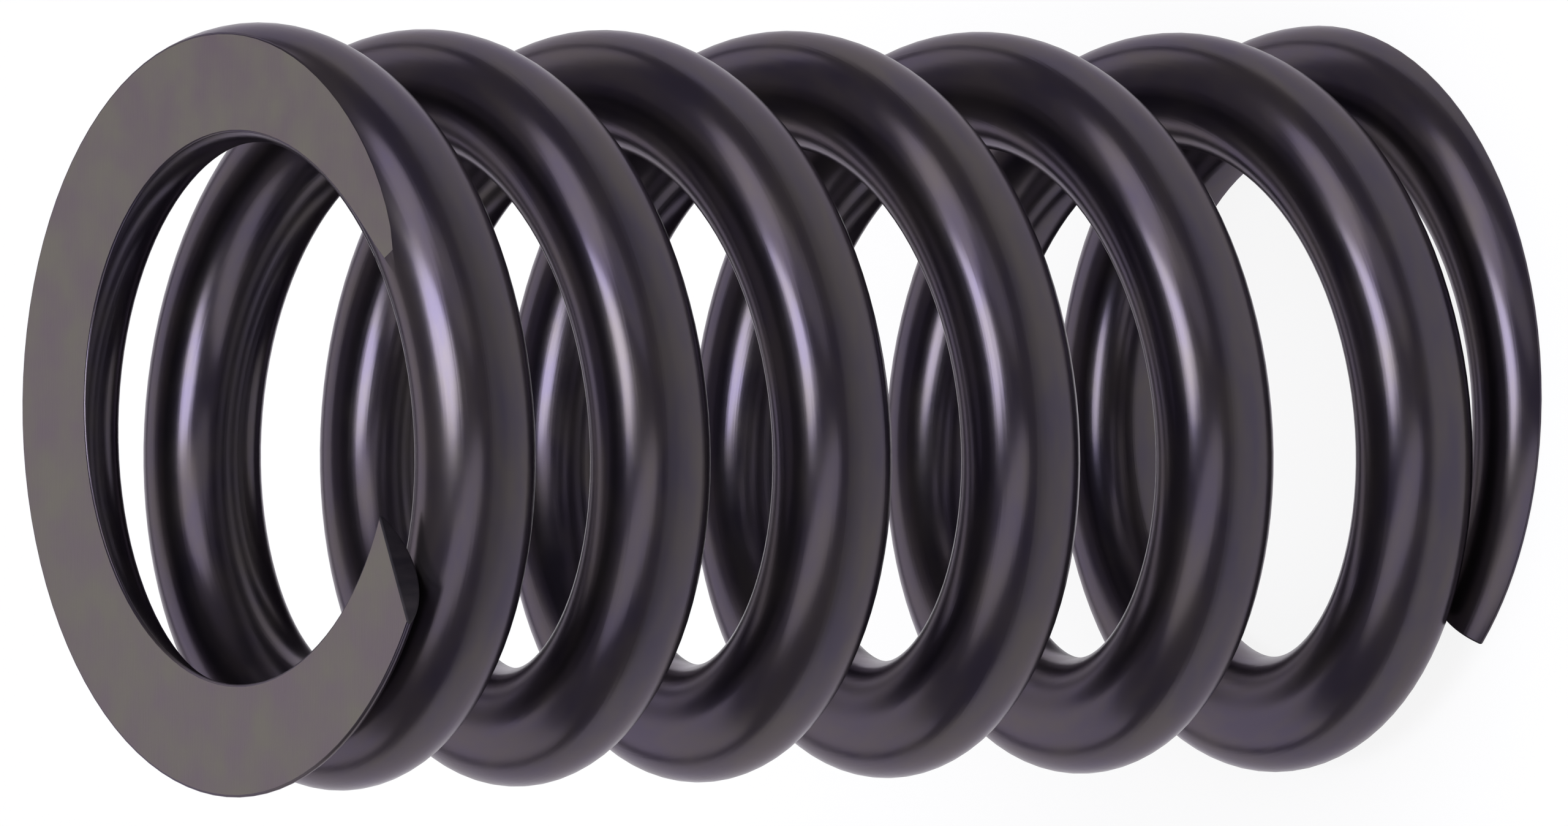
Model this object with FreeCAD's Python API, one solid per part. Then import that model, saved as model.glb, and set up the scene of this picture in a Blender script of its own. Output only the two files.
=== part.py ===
# Engine valve spring: one length of round wire wound right-hand, with both ends closed and
# ground flat. It stands on its lower seat face. The origin is the centre of that face, +Z is
# the coil axis, and all lengths are in millimetres.

import FreeCAD, Part
import math
import os

# Wire and coil
WIRE_DIAMETER = 4.5
COIL_RADIUS = 12.1          # axis to wire centre in the open coils
FREE_LENGTH = 50.8          # seat face to seat face
TOTAL_TURNS = 7.04          # lower wire end to upper wire end
UPPER_END_ANGLE = -118.5    # degrees about +Z from +X to the upper wire end

# The pitch of the open coils opens towards the lower end
PITCH_SPREAD = 0.32         # widest less narrowest open pitch, as a share of their mean

# Lower end coil
LOWER_CLOSED_TURNS = 0.6    # turns before the pitch starts to open
LOWER_OPEN_TURNS = 1.06     # turns at which it is fully open
LOWER_END_GAP = 0.3         # between the wire end and the coil above it
LOWER_TIP_THICKNESS = 0.9   # left of the wire at its end after grinding
LOWER_SHEAR_SLANT = 5.0     # degrees between the cut across the wire and a radial line

# Upper end coil
UPPER_CLOSED_TURNS = 0.5
UPPER_OPEN_TURNS = 1.03
UPPER_END_GAP = 0.12
UPPER_TIP_THICKNESS = 1.0
UPPER_SHEAR_SLANT = 36.0

# End coils spring out a little when they are wound, and their ground faces are deburred
END_COIL_GROWTH = 0.3       # added to the coil radius where the pitch is closed
EDGE_BREAK = 0.1            # on the inner and outer edges of the seat faces

# The wire's centre line is a chain of tangent arcs, two between each pair of stations
STATIONS_PER_TURN = 4
PITCH_SUMS_PER_TURN = 200
TANGENT_STEP = 0.001        # turns

WIRE_RADIUS = WIRE_DIAMETER / 2
END_COIL_RADIUS = COIL_RADIUS + END_COIL_GROWTH
END_STOCK = WIRE_DIAMETER   # wire past each end, taken off by the shear cut
STOCK_TURNS = END_STOCK / (2 * math.pi * COIL_RADIUS)
LOWER_END_ANGLE = UPPER_END_ANGLE - 360 * TOTAL_TURNS


def smooth_step(value, start, end):
    share = min(max((value - start) / (end - start), 0), 1)
    return share * share * (3 - 2 * share)


def lower_opening(turn):
    """How far the lower end has opened, from 0 when closed to 1 in the open coils."""
    return smooth_step(turn, LOWER_CLOSED_TURNS, LOWER_OPEN_TURNS)


def upper_opening(turn):
    return smooth_step(TOTAL_TURNS - turn, UPPER_CLOSED_TURNS, UPPER_OPEN_TURNS)


def pitch_shares(turn):
    """How much of the lower end, upper end and open pitch acts at a turn."""
    lower = lower_opening(turn)
    upper = upper_opening(turn)
    spread = 1 + PITCH_SPREAD * (0.5 - turn / TOTAL_TURNS)
    return (1 - lower, 1 - upper, lower * upper * spread)


def rise_shares(start, end):
    """The pitch shares summed over a stretch of wire, by the midpoint rule."""
    steps = max(1, math.ceil(abs(end - start) * PITCH_SUMS_PER_TURN))
    step = (end - start) / steps
    sums = [0.0, 0.0, 0.0]
    for index in range(steps):
        for kind, share in enumerate(pitch_shares(start + (index + 0.5) * step)):
            sums[kind] += share * step
    return sums


def solve_pitches():
    """The three pitches that give the two end gaps and the free length."""
    lower_rise = WIRE_DIAMETER + LOWER_END_GAP
    upper_rise = WIRE_DIAMETER + UPPER_END_GAP
    ground_off = 2 * WIRE_RADIUS - LOWER_TIP_THICKNESS - UPPER_TIP_THICKNESS
    matrix = FreeCAD.Matrix()
    rows = (
        rise_shares(0, 1),
        rise_shares(TOTAL_TURNS - 1, TOTAL_TURNS),
        rise_shares(0, TOTAL_TURNS),
    )
    (
        (matrix.A11, matrix.A12, matrix.A13),
        (matrix.A21, matrix.A22, matrix.A23),
        (matrix.A31, matrix.A32, matrix.A33),
    ) = rows
    rises = FreeCAD.Vector(lower_rise, upper_rise, FREE_LENGTH + ground_off)
    return matrix.inverse().multVec(rises)


PITCHES = solve_pitches()


def wire_centre(turn):
    """The wire's centre at a number of turns above the lower wire end."""
    shares = rise_shares(0, turn)
    rise = sum(pitch * share for pitch, share in zip(PITCHES, shares))
    closed = 1 - lower_opening(turn) * upper_opening(turn)
    radius = COIL_RADIUS + END_COIL_GROWTH * closed
    angle = math.radians(LOWER_END_ANGLE + 360 * turn)
    height = LOWER_TIP_THICKNESS - WIRE_RADIUS + rise
    return FreeCAD.Vector(radius * math.cos(angle), radius * math.sin(angle), height)


def wire_direction(turn):
    ahead = wire_centre(turn + TANGENT_STEP) - wire_centre(turn - TANGENT_STEP)
    return ahead.normalize()


def arc_under(start, apex, end):
    """The arc from start to end whose end tangents meet at the apex."""
    middle = (start + end) / 2
    half_turn = math.atan2((apex - middle).Length, (end - start).Length / 2)
    height = math.tan(half_turn / 2) / math.tan(half_turn)
    return Part.Arc(start, middle + (apex - middle) * height, end).toShape()


def two_arcs(start, start_direction, end, end_direction):
    """Two arcs, tangent to each other and to the wire's direction at both stations."""
    span = end - start
    along = span.dot(start_direction + end_direction)
    bend = 2 * (1 - start_direction.dot(end_direction))
    reach = (math.sqrt(along ** 2 + bend * span.dot(span)) - along) / bend
    first_apex = start + start_direction * reach
    second_apex = end - end_direction * reach
    joint = (first_apex + second_apex) / 2
    return [arc_under(start, first_apex, joint), arc_under(joint, second_apex, end)]


def wire_run(first, last):
    """Round wire along the centre line between two numbers of turns.

    The seam of its surface runs on the side away from the nearer seat face.
    """
    count = math.ceil((last - first) * STATIONS_PER_TURN)
    turns = [first + (last - first) * index / count for index in range(count + 1)]
    arcs = []
    for turn, next_turn in zip(turns, turns[1:]):
        arcs += two_arcs(
            wire_centre(turn), wire_direction(turn),
            wire_centre(next_turn), wire_direction(next_turn),
        )
    section = Part.Circle(wire_centre(first), wire_direction(first), WIRE_RADIUS)
    seam_side = 1 if first + last < TOTAL_TURNS else -1
    section.XAxis = FreeCAD.Vector(0, 0, seam_side)
    sweep = Part.BRepOffsetAPI.MakePipeShell(Part.Wire(arcs))
    sweep.add(Part.Wire(section.toShape()))
    sweep.build()
    sweep.makeSolid()
    return sweep.shape()


def shear_cut(centre, facing):
    """A block whose upright face cuts the wire at its end; facing points off the wire."""
    size = 4 * END_STOCK
    block = Part.makeBox(size, size, size, FreeCAD.Vector(0, -size / 2, -size / 2))
    block.Placement = FreeCAD.Placement(centre, FreeCAD.Rotation(facing, 0, 0))
    return block


def seat_envelope():
    """The ring that grinding and edge breaking leave standing, turned about the axis."""
    inner = END_COIL_RADIUS - WIRE_RADIUS
    outer = END_COIL_RADIUS + WIRE_RADIUS
    relief = WIRE_RADIUS    # keeps the ring's walls off the wire, apart from the edge breaks
    profile = [
        (inner + EDGE_BREAK, 0),
        (outer - EDGE_BREAK, 0),
        (outer + relief, EDGE_BREAK + relief),
        (outer + relief, FREE_LENGTH - EDGE_BREAK - relief),
        (outer - EDGE_BREAK, FREE_LENGTH),
        (inner + EDGE_BREAK, FREE_LENGTH),
        (inner - relief, FREE_LENGTH - EDGE_BREAK - relief),
        (inner - relief, EDGE_BREAK + relief),
    ]
    corners = [FreeCAD.Vector(radius, 0, height) for radius, height in profile]
    face = Part.Face(Part.makePolygon(corners + corners[:1]))
    return face.revolve(FreeCAD.Vector(0, 0, 0), FreeCAD.Vector(0, 0, 1), 360)


def valve_spring():
    lower_joint = STOCK_TURNS
    middle = TOTAL_TURNS / 2
    upper_joint = TOTAL_TURNS - STOCK_TURNS

    lower_facing = LOWER_END_ANGLE - 90 + LOWER_SHEAR_SLANT
    lower_end = wire_run(-STOCK_TURNS, lower_joint)
    lower_end = lower_end.cut(shear_cut(wire_centre(0), lower_facing))

    upper_facing = UPPER_END_ANGLE + 90 - UPPER_SHEAR_SLANT
    upper_end = wire_run(upper_joint, TOTAL_TURNS + STOCK_TURNS)
    upper_end = upper_end.cut(shear_cut(wire_centre(TOTAL_TURNS), upper_facing))

    lower_coils = wire_run(lower_joint, middle)
    upper_coils = wire_run(middle, upper_joint)
    wire = lower_end.fuse([lower_coils, upper_coils, upper_end])
    return wire.common(seat_envelope()).Solids[0]


def main():
    os.makedirs("parts", exist_ok=True)
    spring = valve_spring()
    spring.exportStep(os.path.join("parts", "valve_spring.step"))
    print("valid", spring.isValid(), "faces", len(spring.Faces), "volume", spring.Volume)
    print("pitches: lower end, upper end, open", PITCHES)


main()
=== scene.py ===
import bpy
import math
import numpy as np
from mathutils import Matrix, Vector


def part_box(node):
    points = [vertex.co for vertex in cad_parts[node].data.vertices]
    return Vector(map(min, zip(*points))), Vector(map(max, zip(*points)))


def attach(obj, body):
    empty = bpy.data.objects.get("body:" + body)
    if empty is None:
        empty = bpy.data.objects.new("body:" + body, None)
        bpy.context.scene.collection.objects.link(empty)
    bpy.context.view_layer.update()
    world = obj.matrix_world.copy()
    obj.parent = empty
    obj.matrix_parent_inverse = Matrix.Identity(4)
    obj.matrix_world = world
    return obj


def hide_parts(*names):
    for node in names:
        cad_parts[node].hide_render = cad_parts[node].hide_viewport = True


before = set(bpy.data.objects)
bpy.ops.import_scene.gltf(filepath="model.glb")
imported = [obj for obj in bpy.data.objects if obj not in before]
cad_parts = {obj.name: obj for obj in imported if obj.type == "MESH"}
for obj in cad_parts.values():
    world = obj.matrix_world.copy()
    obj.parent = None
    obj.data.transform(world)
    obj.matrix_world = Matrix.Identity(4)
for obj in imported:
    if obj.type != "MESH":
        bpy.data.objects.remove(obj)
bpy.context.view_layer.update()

# Engine valve spring, dressed. The wire is built again as one clean grid of quads with rounded
# edges on its ground faces, from the same sizes as the solid. Its sizes are in millimetres and
# become metres where the mesh is made. The camera, floor and lamps are in metres.

NODE = "valve_spring"
MM = 0.001

# The solid's driving sizes
WIRE_DIAMETER = 4.5
COIL_RADIUS = 12.1          # axis to wire centre in the open coils
TOTAL_TURNS = 7.04          # lower wire end to upper wire end
UPPER_END_ANGLE = -118.5    # degrees about +Z from +X to the upper wire end
PITCH_SPREAD = 0.32         # widest less narrowest open pitch, as a share of their mean
LOWER_CLOSED_TURNS = 0.6    # turns before the pitch starts to open
LOWER_OPEN_TURNS = 1.06     # turns at which it is fully open
LOWER_END_GAP = 0.3
LOWER_TIP_THICKNESS = 0.9
LOWER_SHEAR_SLANT = 5.0     # degrees
UPPER_CLOSED_TURNS = 0.5
UPPER_OPEN_TURNS = 1.03
UPPER_END_GAP = 0.12
UPPER_TIP_THICKNESS = 1.0
UPPER_SHEAR_SLANT = 36.0    # degrees
END_COIL_GROWTH = 0.3
EDGE_BREAK = 0.1
FREE_LENGTH = (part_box(NODE)[1].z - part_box(NODE)[0].z) / MM

WIRE_RADIUS = WIRE_DIAMETER / 2
TURN_LENGTH = 2 * math.pi * COIL_RADIUS
LOWER_END_ANGLE = UPPER_END_ANGLE - 360 * TOTAL_TURNS
LOWER_FACING = math.radians(LOWER_END_ANGLE - 90 + LOWER_SHEAR_SLANT)
UPPER_FACING = math.radians(UPPER_END_ANGLE + 90 - UPPER_SHEAR_SLANT)

# The centre line is tabulated at these many steps, a little past both wire ends
LAW_STEPS = 20000
LAW_OVERRUN = 0.1           # turns
TANGENT_STEP = 0.002        # turns

# The mesh has rings along the wire and columns round it
RING_SPACING = 0.75
TIP_TURNS = 0.08            # at each end, over which the rings lean into the shear cut
TIP_RINGS = 10
SHEAR_EDGE = 0.09           # rounding where the shear cut meets the wire
SHEAR_EDGE_RINGS = 3
SHEAR_PASSES = 12           # to find where each column meets the shear cut
TWIST_START = 2.2           # turns over which the columns turn from the lower side to the upper
TWIST_END = 5.0

# Some of the columns form a cap. Where an end is ground, the cap lies on the ground face and
# its two edges. Elsewhere it is a part of the round wire, like the arc of the other columns.
ARC_COLUMNS = 60
EDGE_COLUMNS = 4
FACE_COLUMNS = 14
LEAST_CAP = math.radians(2)     # half the cap's angle where a ground face runs out
OPEN_CAP = math.radians(50)     # and in the open coils
CAP_OPENING_TURNS = 0.2         # between the two

ON_ARC, ON_FIRST_EDGE, ON_FACE, ON_SECOND_EDGE = range(4)
COLUMN_COUNTS = (ARC_COLUMNS, EDGE_COLUMNS, FACE_COLUMNS, EDGE_COLUMNS)
COLUMNS = sum(COLUMN_COUNTS)
KINDS = np.repeat(range(len(COLUMN_COUNTS)), COLUMN_COUNTS)
SHARES = np.concatenate([np.arange(count) / count for count in COLUMN_COUNTS])
CAP_SHARES = (np.arange(COLUMNS) - ARC_COLUMNS) / (COLUMNS - ARC_COLUMNS)

WIRE_SLOT, FACE_SLOT, END_SLOT = range(3)


def smooth_step(value, start, end):
    share = np.clip((value - start) / (end - start), 0, 1)
    return share * share * (3 - 2 * share)


def unit(vectors):
    return vectors / np.linalg.norm(vectors, axis=-1, keepdims=True)


def level_direction(angle):
    return np.array([math.cos(angle), math.sin(angle), 0])


class CentreLine:
    """The wire's centre line, with the pitches solved from the end gaps and the free length."""

    def __init__(self):
        self.turns = np.linspace(-LAW_OVERRUN, TOTAL_TURNS + LAW_OVERRUN, LAW_STEPS)
        lower = smooth_step(self.turns, LOWER_CLOSED_TURNS, LOWER_OPEN_TURNS)
        upper = smooth_step(TOTAL_TURNS - self.turns, UPPER_CLOSED_TURNS, UPPER_OPEN_TURNS)
        spread = 1 + PITCH_SPREAD * (0.5 - self.turns / TOTAL_TURNS)
        shares = np.stack([1 - lower, 1 - upper, lower * upper * spread])
        step = self.turns[1] - self.turns[0]
        sums = np.cumsum((shares[:, 1:] + shares[:, :-1]) / 2 * step, axis=1)
        sums = np.concatenate([np.zeros((3, 1)), sums], axis=1)
        heights = self.solve_pitches(sums) @ sums
        start = LOWER_TIP_THICKNESS - WIRE_RADIUS - np.interp(0, self.turns, heights)
        self.heights = heights + start
        self.radii = COIL_RADIUS + END_COIL_GROWTH * (1 - lower * upper)

    def solve_pitches(self, sums):
        """The three pitches that give the two end gaps and the free length."""
        stretches = ((0, 1), (TOTAL_TURNS - 1, TOTAL_TURNS), (0, TOTAL_TURNS))
        matrix = [
            [np.interp(end, self.turns, row) - np.interp(start, self.turns, row) for row in sums]
            for start, end in stretches
        ]
        rises = [
            WIRE_DIAMETER + LOWER_END_GAP,
            WIRE_DIAMETER + UPPER_END_GAP,
            FREE_LENGTH + WIRE_DIAMETER - LOWER_TIP_THICKNESS - UPPER_TIP_THICKNESS,
        ]
        return np.linalg.solve(np.array(matrix), np.array(rises))

    def centre(self, turns):
        radius = np.interp(turns, self.turns, self.radii)
        height = np.interp(turns, self.turns, self.heights)
        angle = np.radians(LOWER_END_ANGLE + 360 * turns)
        return np.stack([radius * np.cos(angle), radius * np.sin(angle), height], -1)

    def axes(self, turns):
        """Outward, upward and forward unit directions of the wire's section."""
        ahead = self.centre(turns + TANGENT_STEP)
        forward = unit(ahead - self.centre(turns - TANGENT_STEP))
        angle = np.radians(LOWER_END_ANGLE + 360 * turns)
        radial = np.stack([np.cos(angle), np.sin(angle), np.zeros_like(angle)], -1)
        outward = unit(radial - forward * np.sum(radial * forward, -1, keepdims=True))
        return outward, np.cross(outward, forward), forward


class Wire:
    """The wire's surface, as points on rings of turns by column."""

    def __init__(self):
        self.line = CentreLine()
        turns = np.linspace(0, TOTAL_TURNS, LAW_STEPS)
        # The turns at which the two ground faces run out
        self.lower_vanish = turns[self.face_depth(turns, False) < WIRE_RADIUS].max()
        self.upper_vanish = turns[self.face_depth(turns, True) < WIRE_RADIUS].min()

    def face_depth(self, turns, upper):
        """Distance from the wire's centre to the ground plane, along the section's upright."""
        height = self.line.centre(turns)[..., 2]
        upright = self.line.axes(turns)[1][..., 2]
        return np.where(upper, FREE_LENGTH - height, height) / upright

    def outline(self, turns):
        """The section at each turn and column, in its own plane.

        Gives the distance towards the ground side, the distance sideways, and the angle of the
        normal from the ground side.
        """
        upper = turns > TOTAL_TURNS / 2
        depth = np.minimum(self.face_depth(turns, upper), WIRE_RADIUS)
        edge_depth = depth - EDGE_BREAK
        half_width = np.sqrt(np.maximum((WIRE_RADIUS - EDGE_BREAK) ** 2 - edge_depth ** 2, 0))
        corner = np.arctan2(half_width, edge_depth)
        past_face = np.where(upper, self.upper_vanish - turns, turns - self.lower_vanish)
        opening = smooth_step(past_face, 0, CAP_OPENING_TURNS)
        cap = np.maximum(np.maximum(corner, LEAST_CAP), OPEN_CAP * opening)

        # Round wire first, and then the ground face and its edges where there is one
        arc_angle = cap + (2 * math.pi - 2 * cap) * SHARES
        cap_angle = -cap + 2 * cap * CAP_SHARES
        normal_angle = np.where(KINDS == ON_ARC, arc_angle, cap_angle)
        along = WIRE_RADIUS * np.cos(normal_angle)
        side = WIRE_RADIUS * np.sin(normal_angle)

        ground = corner > LEAST_CAP
        on_first = KINDS == ON_FIRST_EDGE
        on_edge = ground & (on_first | (KINDS == ON_SECOND_EDGE))
        edge_angle = np.where(on_first, corner * (SHARES - 1), corner * SHARES)
        edge_side = np.where(on_first, -half_width, half_width)
        along = np.where(on_edge, edge_depth + EDGE_BREAK * np.cos(edge_angle), along)
        side = np.where(on_edge, edge_side + EDGE_BREAK * np.sin(edge_angle), side)
        normal_angle = np.where(on_edge, edge_angle, normal_angle)

        on_face = ground & (KINDS == ON_FACE)
        along = np.where(on_face, depth, along)
        side = np.where(on_face, half_width * (2 * SHARES - 1), side)
        normal_angle = np.where(on_face, 0, normal_angle)
        return along, side, normal_angle

    def surface(self, turns):
        """Points, normals and wire space, which is outward, upward and along the wire."""
        along, side, normal_angle = (value[..., None] for value in self.outline(turns))
        centre = self.line.centre(turns)
        outward, upright, forward = self.line.axes(turns)
        # The ground side turns from down to up, by way of outward
        twist = math.pi * smooth_step(turns, TWIST_START, TWIST_END)[..., None]
        ground = np.sin(twist) * outward - np.cos(twist) * upright
        across = np.sin(twist) * upright + np.cos(twist) * outward
        points = centre + along * ground + side * across
        points[..., 2] = np.clip(points[..., 2], 0, FREE_LENGTH)
        normals = np.cos(normal_angle) * ground + np.sin(normal_angle) * across
        offset = points - centre
        outward_offset = np.sum(offset * outward, -1)
        upward_offset = np.sum(offset * upright, -1)
        wire_space = np.stack([outward_offset, upward_offset, turns * TURN_LENGTH], -1)
        return points, normals, wire_space

    def shear_turns(self, end_turn, facing):
        """For each column, the turn at which it meets the shear cut."""
        normal = level_direction(facing)
        pivot = self.line.centre(np.array([end_turn]))[0]
        forward = self.line.axes(np.array([end_turn]))[2][0]
        turns = np.full((1, COLUMNS), float(end_turn))
        for _ in range(SHEAR_PASSES):
            gap = (self.surface(turns)[0] - pivot) @ normal
            turns = turns - gap / (TURN_LENGTH * (forward @ normal))
        return turns

    def ring_turns(self, lower_cut, upper_cut):
        """The turns of every ring between the rounded edges of the two shear cuts."""
        first = lower_cut + SHEAR_EDGE / TURN_LENGTH
        last = upper_cut - SHEAR_EDGE / TURN_LENGTH
        upper_tip = TOTAL_TURNS - TIP_TURNS
        count = math.ceil((upper_tip - TIP_TURNS) * TURN_LENGTH / RING_SPACING)
        body = np.linspace(TIP_TURNS, upper_tip, count)[:, None] * np.ones((1, COLUMNS))
        share = np.linspace(0, 1, TIP_RINGS, endpoint=False)[:, None]
        lower_rings = first + (TIP_TURNS - first) * share
        upper_rings = (last + (upper_tip - last) * share)[::-1]
        return np.concatenate([lower_rings, body, upper_rings])


def shear_edge(edge, ring_before, facing):
    """Rings over the rounded edge of a sheared end, from the wire's side to the cut's flat."""
    normal = level_direction(facing)
    back = unit(ring_before - edge)
    run = np.roll(edge, -1, 0) - np.roll(edge, 1, 0)
    inward = unit(np.cross(normal, run))
    if np.mean(np.sum((edge.mean(0) - edge) * inward, -1)) < 0:
        inward = -inward
    points, normals = [], []
    for index in range(1, SHEAR_EDGE_RINGS + 1):
        angle = math.pi / 2 * index / SHEAR_EDGE_RINGS
        shift = (1 - math.sin(angle)) * back + (1 - math.cos(angle)) * inward
        points.append(edge + SHEAR_EDGE * shift)
        normals.append(unit(normal * math.sin(angle) - inward * math.cos(angle)))
    return np.array(points), np.array(normals)


def grid_faces(rings):
    """A quad between each ring and the next, and one face over each wire end."""
    index = np.arange(rings * COLUMNS).reshape(rings, COLUMNS)
    near, far = index[:-1], index[1:]
    quads = np.stack([near, far, np.roll(far, -1, 1), np.roll(near, -1, 1)], -1)
    return quads.reshape(-1, 4).tolist() + [index[0].tolist(), index[-1][::-1].tolist()]


def face_slots(wire, turns, rings):
    """The material slot of each face, in the order of grid_faces."""
    ends = np.ones((SHEAR_EDGE_RINGS, COLUMNS))
    ring_turns = np.concatenate([0 * ends, turns, TOTAL_TURNS * ends])[:-1]
    ground = (ring_turns < wire.lower_vanish) | (ring_turns > wire.upper_vanish)
    slots = np.where(ground & (KINDS == ON_FACE), FACE_SLOT, WIRE_SLOT)
    slots[:SHEAR_EDGE_RINGS] = END_SLOT
    slots[rings - 1 - SHEAR_EDGE_RINGS:] = END_SLOT
    return slots.reshape(-1).tolist() + [END_SLOT, END_SLOT]


def set_normals(mesh, normals):
    """Each corner takes its point's normal, and the two end faces are flat."""
    points = np.empty(len(mesh.loops), int)
    mesh.loops.foreach_get("vertex_index", points)
    corners = normals.reshape(-1, 3)[points]
    corners[-2 * COLUMNS:-COLUMNS] = level_direction(LOWER_FACING)
    corners[-COLUMNS:] = level_direction(UPPER_FACING)
    mesh.normals_split_custom_set(corners.tolist())


def spring_mesh():
    wire = Wire()
    lower_cut = wire.shear_turns(0, LOWER_FACING)
    upper_cut = wire.shear_turns(TOTAL_TURNS, UPPER_FACING)
    turns = wire.ring_turns(lower_cut, upper_cut)
    points, normals, wire_space = wire.surface(turns)
    lower_edge = wire.surface(lower_cut)[0][0]
    upper_edge = wire.surface(upper_cut)[0][0]
    lower_points, lower_normals = shear_edge(lower_edge, points[0], LOWER_FACING)
    upper_points, upper_normals = shear_edge(upper_edge, points[-1], UPPER_FACING)
    lower_space = np.repeat(wire_space[:1], SHEAR_EDGE_RINGS, 0)
    upper_space = np.repeat(wire_space[-1:], SHEAR_EDGE_RINGS, 0)
    points = np.concatenate([lower_points[::-1], points, upper_points])
    normals = np.concatenate([lower_normals[::-1], normals, upper_normals])
    wire_space = np.concatenate([lower_space, wire_space, upper_space])

    faces = grid_faces(len(points))
    mesh = bpy.data.meshes.new("spring_wire")
    mesh.from_pydata((points.reshape(-1, 3) * MM).tolist(), [], faces)
    mesh.update()
    mesh.polygons.foreach_set("use_smooth", [True] * len(faces))
    mesh.polygons.foreach_set("material_index", face_slots(wire, turns, len(points)))
    set_normals(mesh, normals)
    attribute = mesh.attributes.new("wire_space", "FLOAT_VECTOR", "POINT")
    attribute.data.foreach_set("vector", wire_space.reshape(-1))
    return mesh


# The stretch of a noise's values that a material uses
NOISE_LOW = 0.35
NOISE_HIGH = 0.65


class Shading:
    """A material's node tree, with short ways to add and join nodes."""

    def __init__(self, name):
        self.material = bpy.data.materials.new(name)
        self.material.use_nodes = True
        self.tree = self.material.node_tree
        self.surface = self.tree.nodes["Principled BSDF"]

    def add(self, kind, properties=(), **inputs):
        made = self.tree.nodes.new(kind)
        for name, value in properties:
            setattr(made, name, value)
        for name, value in inputs.items():
            self.put(made, name.replace("_", " "), value)
        return made

    def put(self, node, socket, value):
        if isinstance(value, bpy.types.NodeSocket):
            self.tree.links.new(value, node.inputs[socket])
        else:
            node.inputs[socket].default_value = value

    def shade(self, **inputs):
        for name, value in inputs.items():
            self.put(self.surface, name.replace("_", " "), value)

    def combine(self, operation, first, second):
        made = self.add("ShaderNodeMath", [("operation", operation)])
        self.put(made, 0, first)
        self.put(made, 1, second)
        return made.outputs[0]

    def object_place(self):
        """Metres along X, Y and Z."""
        return self.add("ShaderNodeTexCoord").outputs["Object"]

    def wire_place(self):
        """Millimetres outward, upward and along the wire."""
        source = self.add("ShaderNodeAttribute", [("attribute_name", "wire_space")])
        return source.outputs["Vector"]

    def noise(self, place, scale, detail=4.0):
        """Noise with its own scale along each axis, in grains for each unit of place."""
        mapping = self.add("ShaderNodeMapping", Vector=place, Scale=scale)
        made = self.add(
            "ShaderNodeTexNoise", Vector=mapping.outputs["Vector"],
            Scale=1.0, Detail=detail, Roughness=0.55,
        )
        return made.outputs["Fac"]

    def spread(self, noise, low, high):
        made = self.add("ShaderNodeMapRange", Value=noise, From_Min=NOISE_LOW, From_Max=NOISE_HIGH)
        self.put(made, "To Min", low)
        self.put(made, "To Max", high)
        return made.outputs["Result"]

    def blend(self, noise, low, high):
        made = self.add("ShaderNodeValToRGB", Fac=noise)
        first, last = made.color_ramp.elements
        first.position = NOISE_LOW
        first.color = (*low, 1)
        last.position = NOISE_HIGH
        last.color = (*high, 1)
        return made.outputs["Color"]

    def bump(self, height, depth):
        made = self.add("ShaderNodeBump", Height=height, Distance=depth, Strength=1.0)
        return made.outputs["Normal"]


# Grains for each millimetre of wire_place
DRAWING_MARKS = (6.0, 6.0, 0.06)
OXIDE_PATCHES = (0.7, 0.7, 0.25)

# Grains for each metre of object_place
GRINDING_LINES = (900.0, 9000.0, 900.0)
GRINDING_MOTTLE = (420.0, 420.0, 420.0)
SHEAR_GRAIN = (1500.0, 1500.0, 400.0)

# Depths in metres
MARK_DEPTH = 0.0000035
LINE_DEPTH = 0.000005
GRAIN_DEPTH = 0.00002


def tempered_wire():
    """Oil-tempered wire: a near-black oxide skin with drawing marks along the wire."""
    shading = Shading("tempered_wire")
    place = shading.wire_place()
    marks = shading.noise(place, DRAWING_MARKS, detail=3.0)
    patches = shading.noise(place, OXIDE_PATCHES)
    shading.shade(
        Base_Color=shading.blend(patches, (0.068, 0.058, 0.081), (0.088, 0.076, 0.078)),
        Metallic=0.92,
        Roughness=shading.spread(patches, 0.20, 0.26),
        Specular_Tint=(0.70, 0.66, 0.72, 1),
        Normal=shading.bump(marks, MARK_DEPTH),
    )
    return shading.material


def ground_face():
    """Bare steel off the grinding wheel, matt and faintly mottled."""
    shading = Shading("ground_face")
    place = shading.object_place()
    lines = shading.noise(place, GRINDING_LINES, detail=2.0)
    mottle = shading.noise(place, GRINDING_MOTTLE, detail=5.0)
    shading.shade(
        Base_Color=shading.blend(mottle, (0.084, 0.061, 0.069), (0.099, 0.087, 0.069)),
        Roughness=shading.spread(mottle, 0.50, 0.62),
        Normal=shading.bump(lines, LINE_DEPTH),
    )
    return shading.material


def sheared_end_painted_shade():
    """The end face that the cut-off tool leaves. Its near-black colour is painted shade, standing
    in for the shade on the unlit end.
    """
    shading = Shading("sheared_end_painted_shade")
    grain = shading.noise(shading.object_place(), SHEAR_GRAIN)
    shading.shade(
        # Near-black colour: painted shade of the unlit sheared end face, not the steel's own
        # colour
        Base_Color=shading.blend(grain, (0.010, 0.008, 0.012), (0.024, 0.020, 0.023)),
        Roughness=0.6,
        Specular_IOR_Level=0.2,
        Normal=shading.bump(grain, GRAIN_DEPTH),
    )
    return shading.material


def make_spring():
    mesh = spring_mesh()
    # In the order of WIRE_SLOT, FACE_SLOT and END_SLOT
    for material in (tempered_wire(), ground_face(), sheared_end_painted_shade()):
        mesh.materials.append(material)
    spring = bpy.data.objects.new("spring_wire", mesh)
    bpy.context.scene.collection.objects.link(spring)
    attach(spring, "root")
    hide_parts(NODE)


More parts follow.
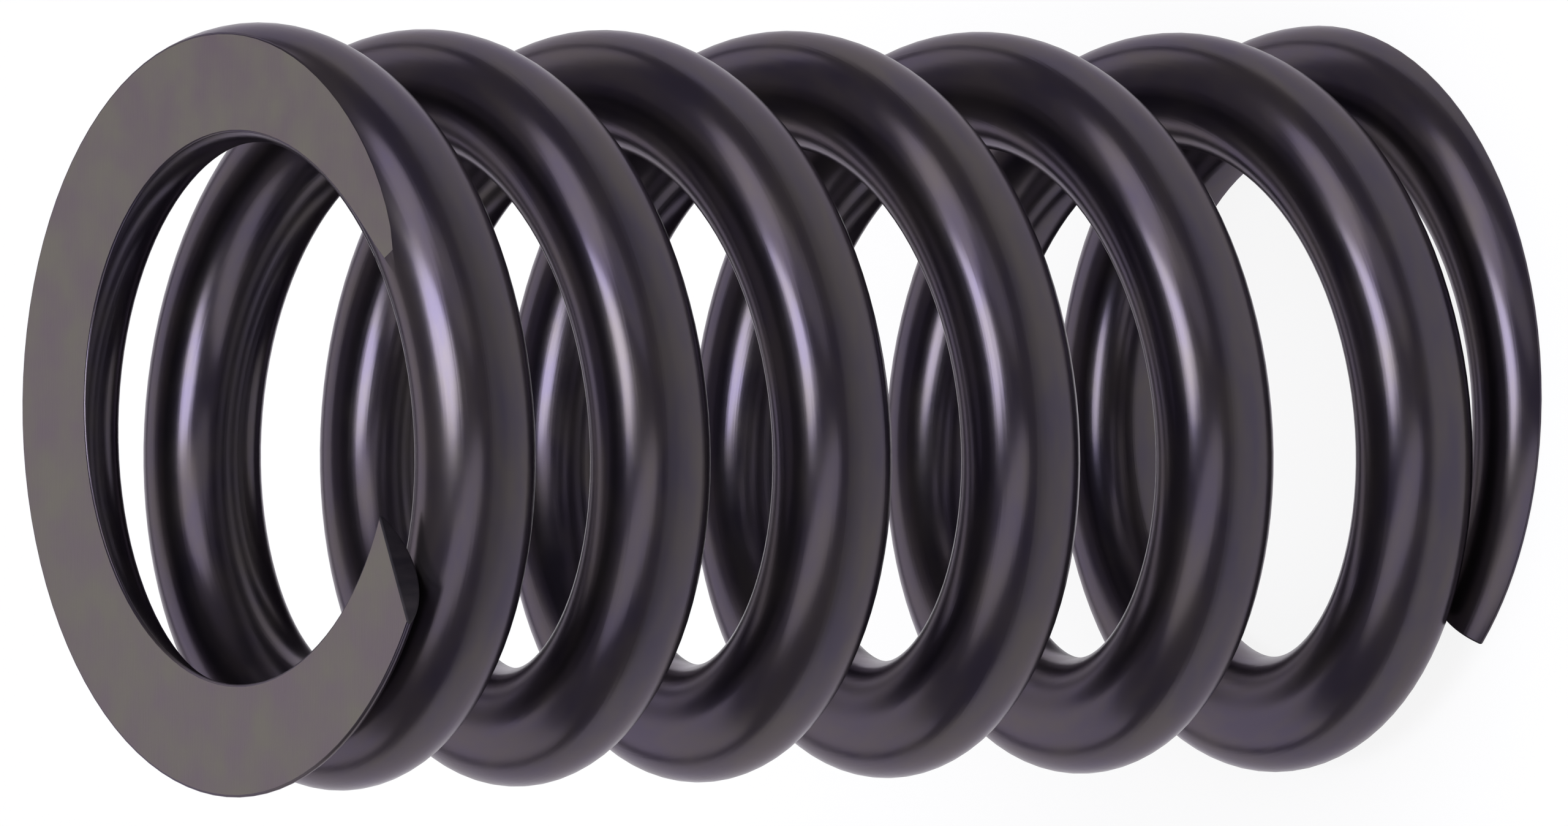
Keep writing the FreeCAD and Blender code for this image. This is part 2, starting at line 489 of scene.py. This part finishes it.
# The camera stands in front of the spring and above it, rolled so that the coil axis lies
# across the picture with the upper seat on the left
CAMERA_ELEVATION = 34.847   # degrees
CAMERA_DISTANCE = 60 * COIL_RADIUS * MM
CAMERA_LENS = 435.15
SENSOR_WIDTH = 36.0
CAMERA_PAN = 0.00014        # radians
CAMERA_TILT = -0.00039
CAMERA_ROLL = 0.00906       # beyond the quarter turn
CLIP_START = 0.01
CLIP_END = 20

MIDDLE = Vector((0, 0, FREE_LENGTH * MM / 2))


def make_camera():
    elevation = math.radians(CAMERA_ELEVATION)
    back = Vector((0, -math.cos(elevation), math.sin(elevation)))
    up = Vector((1, 0, 0))
    axes = [up, up.cross(back), -back]
    for index, angle in enumerate((CAMERA_PAN, CAMERA_TILT, CAMERA_ROLL)):
        turn = Matrix.Rotation(angle, 3, axes[index])
        axes = [turn @ axis for axis in axes]
    up, right, forward = axes
    camera = bpy.data.cameras.new("camera")
    camera.sensor_width = SENSOR_WIDTH
    camera.lens = CAMERA_LENS
    camera.clip_start = CLIP_START
    camera.clip_end = CLIP_END
    view = bpy.data.objects.new("camera", camera)
    view.matrix_world = Matrix((right, up, -forward)).transposed().to_4x4()
    view.location = MIDDLE + back * CAMERA_DISTANCE
    bpy.context.scene.collection.objects.link(view)
    bpy.context.scene.camera = view


FLOOR_REACH = 3.0
FLOOR_COLOUR = (0.94, 0.94, 0.94, 1)
FLOOR_WHITE = 0.88          # share of the floor's white that is its own; the rest takes the shadow
FRONT_START = 0.03          # where the floor that the wire mirrors starts to darken, along Y
FRONT_END = -0.15
FRONT_LOSS = 0.55           # of its white, past the end


def make_floor():
    """A pale floor that shows and mirrors as white, and keeps the spring's shadow."""
    reach = FLOOR_REACH
    mesh = bpy.data.meshes.new("floor")
    corners = [(-reach, -reach, 0), (reach, -reach, 0), (reach, reach, 0), (-reach, reach, 0)]
    mesh.from_pydata(corners, [], [(0, 1, 2, 3)])

    shading = Shading("pale_floor")
    shading.tree.nodes.remove(shading.surface)
    ray = shading.add("ShaderNodeLightPath").outputs
    seen = shading.combine("ADD", ray["Is Camera Ray"], ray["Is Glossy Ray"])
    seen = shading.combine("ADD", seen, ray["Is Transmission Ray"])
    share = shading.combine("MULTIPLY", seen, FLOOR_WHITE)

    place = shading.add("ShaderNodeSeparateXYZ", Vector=shading.object_place())
    fade = shading.add(
        "ShaderNodeMapRange", [("interpolation_type", "SMOOTHSTEP")],
        Value=place.outputs["Y"], From_Min=FRONT_END, From_Max=FRONT_START,
    )
    shading.put(fade, "To Min", FRONT_LOSS)
    shading.put(fade, "To Max", 0.0)
    loss = shading.combine("MULTIPLY", fade.outputs["Result"], ray["Is Glossy Ray"])
    strength = shading.combine("SUBTRACT", 1.0, loss)

    matt = shading.add("ShaderNodeBsdfDiffuse", Color=FLOOR_COLOUR)
    white = shading.add("ShaderNodeEmission", Color=(1, 1, 1, 1), Strength=strength)
    mix = shading.add("ShaderNodeMixShader")
    shading.put(mix, 0, share)
    shading.put(mix, 1, matt.outputs[0])
    shading.put(mix, 2, white.outputs[0])
    shading.put(shading.tree.nodes["Material Output"], "Surface", mix.outputs[0])

    mesh.materials.append(shading.material)
    floor = bpy.data.objects.new("floor", mesh)
    bpy.context.scene.collection.objects.link(floor)


# The surroundings that the wire mirrors: a soft box almost overhead, a dimmer lamp beside it,
# light bounced from both sides of the front and from a pale sheet at the back, and plain dim
# walls. Each lamp is an ellipse at a slope from the axis, as a share of its height.
LAMP_HEIGHT = 0.8           # above the middle of the spring
LAMPS = {
    # slope along X and along Y, spread along X and along Y, radiance, colour
    "soft_box": (0.05, -0.26, 0.58, 0.70, 8.8, (0.88, 0.91, 1.0)),
    "side_lamp": (0.92, -0.35, 1.40, 0.84, 1.9, (0.95, 0.93, 1.0)),
    "bounce_low": (-1.05, -1.30, 1.20, 3.20, 1.2, (0.98, 0.97, 1.0)),
    "bounce_high": (0.95, -1.60, 1.40, 2.20, 0.55, (0.98, 0.97, 1.0)),
    "pale_sheet": (0.0, 4.6, 12.0, 6.6, 1.0, (0.98, 0.97, 1.0)),
}
WALL_LEVEL = 0.21
WALL_COLOUR = (0.93, 0.85, 1.0, 1)


def make_world():
    world = bpy.data.worlds.new("world")
    bpy.context.scene.world = world
    world.use_nodes = True
    background = world.node_tree.nodes["Background"]
    background.inputs["Color"].default_value = WALL_COLOUR
    background.inputs["Strength"].default_value = WALL_LEVEL


def make_lamps():
    for name, (slope_x, slope_y, spread_x, spread_y, radiance, colour) in LAMPS.items():
        lamp = bpy.data.lights.new(name, "AREA")
        lamp.shape = "ELLIPSE"
        lamp.size = spread_x * LAMP_HEIGHT
        lamp.size_y = spread_y * LAMP_HEIGHT
        area = math.pi / 4 * lamp.size * lamp.size_y
        lamp.energy = radiance * math.pi * area
        lamp.color = colour
        # An area lamp with no turn shines straight down
        holder = bpy.data.objects.new(name, lamp)
        holder.location = MIDDLE + LAMP_HEIGHT * Vector((slope_x, slope_y, 1))
        bpy.context.scene.collection.objects.link(holder)


bpy.context.scene.view_settings.view_transform = "Standard"
make_spring()
make_camera()
make_floor()
make_world()
make_lamps()
